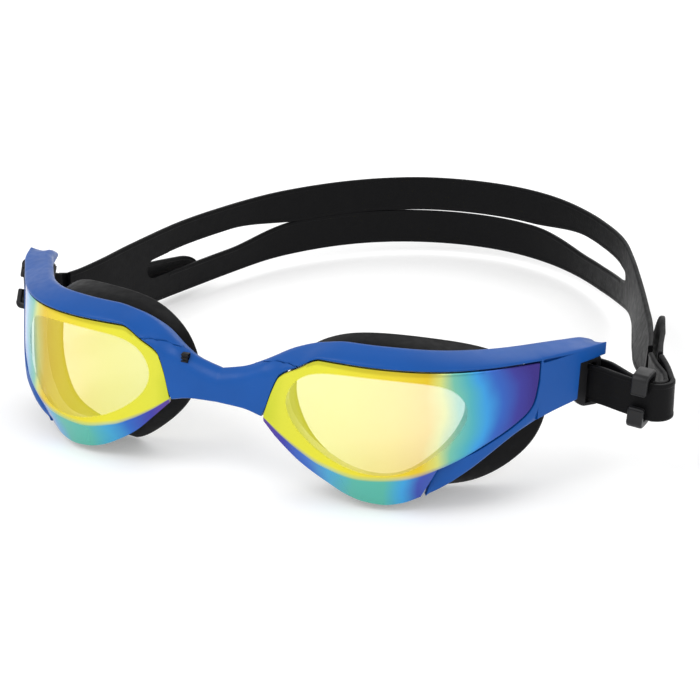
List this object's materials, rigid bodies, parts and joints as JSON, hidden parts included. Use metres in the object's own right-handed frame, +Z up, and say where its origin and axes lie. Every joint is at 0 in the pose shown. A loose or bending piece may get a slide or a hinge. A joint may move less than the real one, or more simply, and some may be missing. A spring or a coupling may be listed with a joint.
{
  "type": "swim goggles",
  "caption": "Low-profile swim goggles with wrap-around mirrored lenses, soft gaskets, a split silicone strap and sliding buckles.",
  "frame": {"origin": "middle of the object's box, on the surface it stands on", "axes": "+X to the wearer's left, +Y from the lenses to the back of the head, +Z up"},
  "size_m": [0.1888, 0.1842, 0.0393],
  "materials": {
    "frame_blue": "satin moulded plastic",
    "lens_mirror": "iridescent mirror coat, gold to teal and violet",
    "carrier_clear": "clear moulded plastic",
    "gasket_silicone": "soft matte silicone",
    "anchor_black": "matte moulded plastic",
    "buckle_black": "matte moulded plastic",
    "strap_silicone": "matte silicone with a fine knurled back"
  },
  "bodies": {
    "frame": {"nose_bridge": "frame_blue", "frame_left": "frame_blue", "frame_right": "frame_blue", "lens_left": "lens_mirror", "lens_right": "lens_mirror", "lens_carrier_left": "carrier_clear", "lens_carrier_right": "carrier_clear", "gasket_left": "gasket_silicone", "gasket_right": "gasket_silicone", "temple_anchor_left": "anchor_black", "temple_anchor_right": "anchor_black", "strap_loop_left": "strap_silicone", "strap_loop_right": "strap_silicone"},
    "strap": {"strap_yoke_left": "strap_silicone", "strap_yoke_right": "strap_silicone"},
    "upper_branch": {"strap_upper_branch": "strap_silicone"},
    "lower_branch": {"strap_lower_branch": "strap_silicone"},
    "buckle_left": {"buckle_left": "buckle_black"},
    "buckle_right": {"buckle_right": "buckle_black"},
    "tail_left": {"strap_tail_left": "strap_silicone"},
    "tail_right": {"strap_tail_right": "strap_silicone"}
  },
  "joints": [
    {"name": "strap_lift", "type": "hinge", "parent": "frame", "child": "strap", "pos_m": [-0.0861, -0.0281, 0.01635], "axis": [0.9993, 0.0107, 0.0367], "range_deg": [-8, 35], "stiffness_Nm_per_rad": 0.3},
    {"name": "upper_branch_spread", "type": "hinge", "parent": "strap", "child": "upper_branch", "pos_m": [-0.07721, 0.01264, 0.02003], "axis": [0.9438, 0.3305, 0.0067], "range_deg": [0, 20], "stiffness_Nm_per_rad": 0.1},
    {"name": "lower_branch_spread", "type": "hinge", "parent": "strap", "child": "lower_branch", "pos_m": [-0.07721, 0.01264, 0.00616], "axis": [-0.9436, -0.3305, -0.0186], "range_deg": [0, 20], "stiffness_Nm_per_rad": 0.1},
    {"name": "buckle_slide_left", "type": "slide", "parent": "frame", "child": "buckle_left", "axis": [-0.9966, 0.0199, 0.0797], "range_m": [0, 0.006], "deforming": ["strap_loop_left"]},
    {"name": "buckle_slide_right", "type": "slide", "parent": "frame", "child": "buckle_right", "axis": [-0.0498, 0.9159, -0.3982], "range_m": [0, 0.002], "deforming": ["strap_loop_right"]},
    {"name": "tail_flex_left", "type": "hinge", "parent": "strap", "child": "tail_left", "pos_m": [0.086, -0.0301, 0.023], "axis": [0, 0, -1], "range_deg": [0, 35], "stiffness_Nm_per_rad": 0.01},
    {"name": "tail_flex_right", "type": "hinge", "parent": "strap", "child": "tail_right", "pos_m": [-0.0889, -0.0286, 0.0164], "axis": [0, 0, 1], "range_deg": [0, 30], "stiffness_Nm_per_rad": 0.01}
  ]
}
